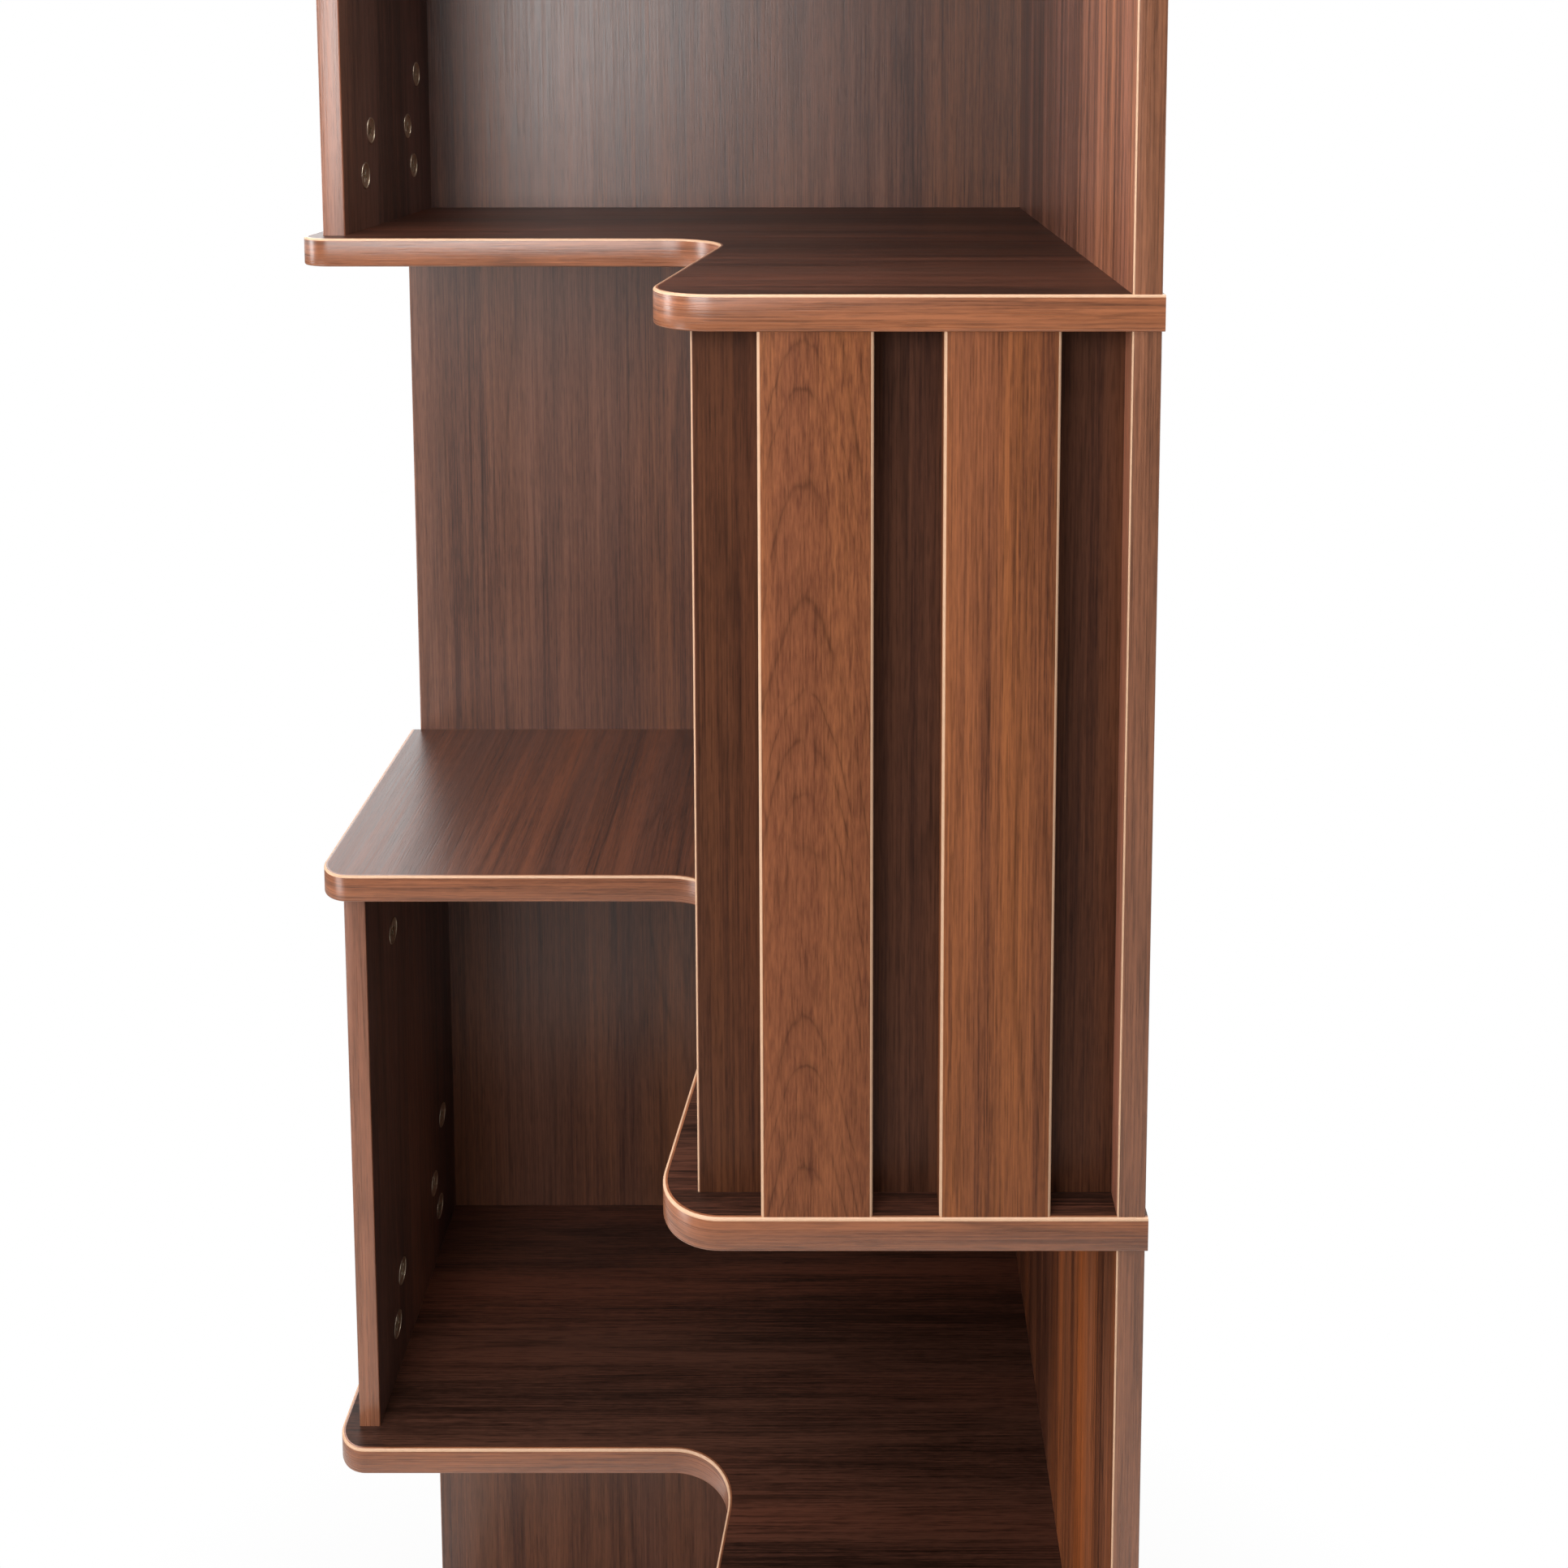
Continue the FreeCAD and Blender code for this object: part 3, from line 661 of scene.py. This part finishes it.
def cam_disc(low, high):
    """Cam lock over a box, facing right: a cast disc with a rim, a dished face and a cross recess."""
    middle = (low + high) / 2
    bpy.ops.object.select_all(action="DESELECT")
    bpy.ops.mesh.primitive_circle_add(vertices=CAM_SIDES, radius=(high.y - low.y) / 2, fill_type="NGON",
                                      location=(low.x, middle.y, middle.z), rotation=(0, math.pi / 2, 0))
    bpy.ops.object.transform_apply(location=True, rotation=True, scale=True)
    disc = bpy.context.active_object
    disc.data.materials.append(cam_zinc)
    bpy.ops.object.mode_set(mode="EDIT")
    bpy.ops.mesh.select_all(action="SELECT")
    extrude(x=high.x - low.x)
    bpy.ops.mesh.inset(thickness=CAM_RIM)
    extrude(x=-CAM_RIM_DROP)
    bpy.ops.mesh.inset(thickness=CAM_DISH)
    bpy.ops.transform.translate(value=(-CAM_DISH_DROP, 0, 0))
    pick("edges", lambda e: all(near(v.co.x, high.x) for v in e.verts))
    bpy.ops.mesh.bevel(offset=CAM_ARRIS, segments=CAM_ARRIS_STEPS, profile=ROUND)
    bpy.ops.mesh.select_all(action="SELECT")
    bpy.ops.mesh.normals_make_consistent(inside=False)
    bpy.ops.object.mode_set(mode="OBJECT")
    # Each bar has its middle on the disc's face, so that half of it cuts
    bar = (2 * CROSS_DEPTH, CROSS_LENGTH, CROSS_WIDTH)
    for turn in (0, math.pi / 2):
        carve_bar(disc, (high.x, middle.y, middle.z), bar, turn)
    return disc


cam_boxes = shells("cam_locks")
first_low, first_high = cam_boxes[0]
discs = [cam_disc(first_low, first_high)]
for (low, high), turn in zip(cam_boxes[1:], cycle(CAM_TURNS)):
    select_only(discs[0])
    bpy.ops.object.duplicate(linked=False)
    bpy.ops.transform.translate(value=low - first_low)
    bpy.ops.transform.rotate(value=turn, orient_axis="X", center_override=(low + high) / 2)
    bpy.ops.object.transform_apply(location=True, rotation=True, scale=True)
    discs.append(bpy.context.active_object)
select_only(*discs)
bpy.ops.object.join()
discs[0].name = discs[0].data.name = "cam_lock_discs"
finish_piece(discs[0], "cam_locks")


# Panels and hidden fittings, which keep their CAD solids: the panels' bores take the fittings

STEEL_FITTINGS = ("cam_bolts", "back_screws", "slat_screws", "wall_bracket", "bracket_screws")
node_finishes = (
    [(f"right_panel_{tier}", ribbon_walnut_painted_light) for tier in UPPER_RIGHT_TIERS]
    + [(f"right_panel_{tier}", lower_ribbon_walnut) for tier in LOWER_RIGHT_TIERS]
    + [(f"left_panel_{tier}", side_walnut) for tier in LEFT_TIERS]
    + [(f"{back}_back_panel", back_walnut) for back in BACKS]
    + [(f"{end}_divider", side_walnut) for end in SLATTED_ENDS]
    + [(f"{end}_slat_backing", backing_walnut_painted_shade) for end in SLATTED_ENDS]
    + [(fitting, plated_steel) for fitting in STEEL_FITTINGS]
    + [("dowels", beech), ("floor_glides", glide_plastic)]
)
for node, finish in node_finishes:
    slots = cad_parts[node].data.materials
    slots.clear()
    slots.append(finish)


# Stage, light and camera

scene = bpy.context.scene
scene.view_settings.view_transform = "Standard"


def seen(tree):
    """1 for what the camera sees directly or through something, and 0 for other rays."""
    path = tree.nodes.new("ShaderNodeLightPath").outputs
    return add_node(tree, "Math", {0: path["Is Camera Ray"], 1: path["Is Transmission Ray"]},
                    operation="MAXIMUM")


# White studio: the backdrop is seen as white, and lights the bookcase at a lower level. In reflections it
# is dim on the camera's side. A ray's slope is how far it heads to the back, and between these two slopes
# the studio goes from dim to white.
AMBIENT = 0.17
DIM_SIDE = 0.1
DIM_SLOPE = -0.5
BRIGHT_SLOPE = 0.3
world = bpy.data.worlds.new("white_studio")
scene.world = world
world.use_nodes = True
sky = world.node_tree
path = sky.nodes.new("ShaderNodeLightPath").outputs
way = sky.nodes.new("ShaderNodeTexCoord").outputs["Generated"]
slope = add_node(sky, "SeparateXYZ", {0: way}).node.outputs["Y"]
mirrored = add_node(sky, "MapRange", {"Value": slope, "From Min": DIM_SLOPE, "From Max": BRIGHT_SLOPE,
                                      "To Min": DIM_SIDE, "To Max": 1})
mirrored = add_node(sky, "Math", {0: mirrored, 1: path["Is Glossy Ray"]}, operation="MULTIPLY")
level = add_node(sky, "Math", {0: seen(sky), 1: mirrored}, operation="MAXIMUM")
level = add_node(sky, "Math", {0: level, 1: AMBIENT}, operation="MAXIMUM")
sky.links.new(level, sky.nodes["Background"].inputs["Strength"])
sky.nodes["Background"].inputs["Color"].default_value = (1, 1, 1, 1)

# Pale matt floor that takes the shadow near the bookcase and fades to white further out
FLOOR_R = 12
FLOOR_SIDES = 96
FLOOR_ROUGHNESS = 0.9
SHADOW_NEAR = 0.35
SHADOW_FAR = 0.9
NEAR_WHITE_SHARE = 0.7
bpy.ops.object.select_all(action="DESELECT")
bpy.ops.mesh.primitive_circle_add(vertices=FLOOR_SIDES, radius=FLOOR_R, fill_type="NGON")
floor = bpy.context.active_object
floor.name = "studio_floor"
floor_paint, tree, shader, place = new_finish("pale_floor_paint")
shader.inputs["Base Color"].default_value = hex_colour("#e6e5e2")
shader.inputs["Roughness"].default_value = FLOOR_ROUGHNESS
shader.inputs["Specular IOR Level"].default_value = 0
distance = add_node(tree, "VectorMath", {0: place}, operation="LENGTH").node.outputs["Value"]
fade = add_node(tree, "MapRange", {"Value": distance, "From Min": SHADOW_NEAR, "From Max": SHADOW_FAR,
                                   "To Min": NEAR_WHITE_SHARE, "To Max": 1})
fade = add_node(tree, "Math", {0: fade, 1: seen(tree)}, operation="MULTIPLY")
glow = add_node(tree, "Emission", {"Color": (1, 1, 1, 1), "Strength": 1})
mixed = add_node(tree, "MixShader", {0: fade, 1: shader.outputs[0], 2: glow})
tree.links.new(mixed, tree.nodes["Material Output"].inputs["Surface"])
floor.data.materials.append(floor_paint)

# Large soft lamps: place, the point that each faces, width and height in metres, and power in watts
SOFTBOXES = {
    "key_softbox": ((-0.4, -1.0, 1.68), (0, 0, 1.3), 0.6, 0.7, 8),
    "left_softbox": ((-1.5, -0.1, 1.5), (0, 0, 1.2), 0.35, 0.8, 7.5),
    "high_left_softbox": ((-1.2, -0.5, 2.4), (0, 0, 1.1), 0.8, 0.8, 4),
    "low_left_softbox": ((-0.8, -0.5, 0.8), (-0.2, 0, 0.9), 0.3, 0.5, 2),
    "overhead_softbox": ((0, -0.3, 2.8), (0, 0, 1.2), 1.4, 1.4, 34),
    # These light the sides that the photo doesn't show, and the first draws the sheen on the open shelf
    "rear_left_softbox": ((-0.5, 1.15, 1.65), (-0.18, 0.02, 1.06), 0.8, 0.8, 5),
    "right_softbox": ((1.7, 0.1, 1.4), (0, 0, 1.0), 1.0, 1.8, 12),
    "rear_right_softbox": ((0.9, 1.6, 1.5), (0, 0, 1.0), 1.0, 1.6, 14),
}
for name, (place, aim, width, height, power) in SOFTBOXES.items():
    lamp = bpy.data.lights.new(name, "AREA")
    lamp.shape = "RECTANGLE"
    lamp.size = width
    lamp.size_y = height
    lamp.energy = power
    holder = bpy.data.objects.new(name, lamp)
    holder.location = place
    holder.rotation_euler = (Vector(aim) - Vector(place)).to_track_quat("-Z", "Y").to_euler()
    scene.collection.objects.link(holder)

# The camera stands before the front arm and a little above the upper board. Its lens, and the point where
# the lens's axis meets the picture, are in pixels of the photo.
FRAME_PX = 1932
LENS_PX = 1943.1
AXIS_PX = (1038.9, 270.5)
PITCH = math.radians(5.33)
CAMERA_PLACE = (81.6 * MM, -831.2 * MM, 1501.0 * MM)
SENSOR_WIDTH = 36
camera = bpy.data.cameras.new("photo_camera")
camera.sensor_width = SENSOR_WIDTH
camera.lens = LENS_PX * SENSOR_WIDTH / FRAME_PX
camera.shift_x = (FRAME_PX / 2 - AXIS_PX[0]) / FRAME_PX
camera.shift_y = (AXIS_PX[1] - FRAME_PX / 2) / FRAME_PX
holder = bpy.data.objects.new("photo_camera", camera)
holder.location = CAMERA_PLACE
holder.rotation_euler = (math.pi / 2 - PITCH, 0, 0)
scene.collection.objects.link(holder)
scene.camera = holder
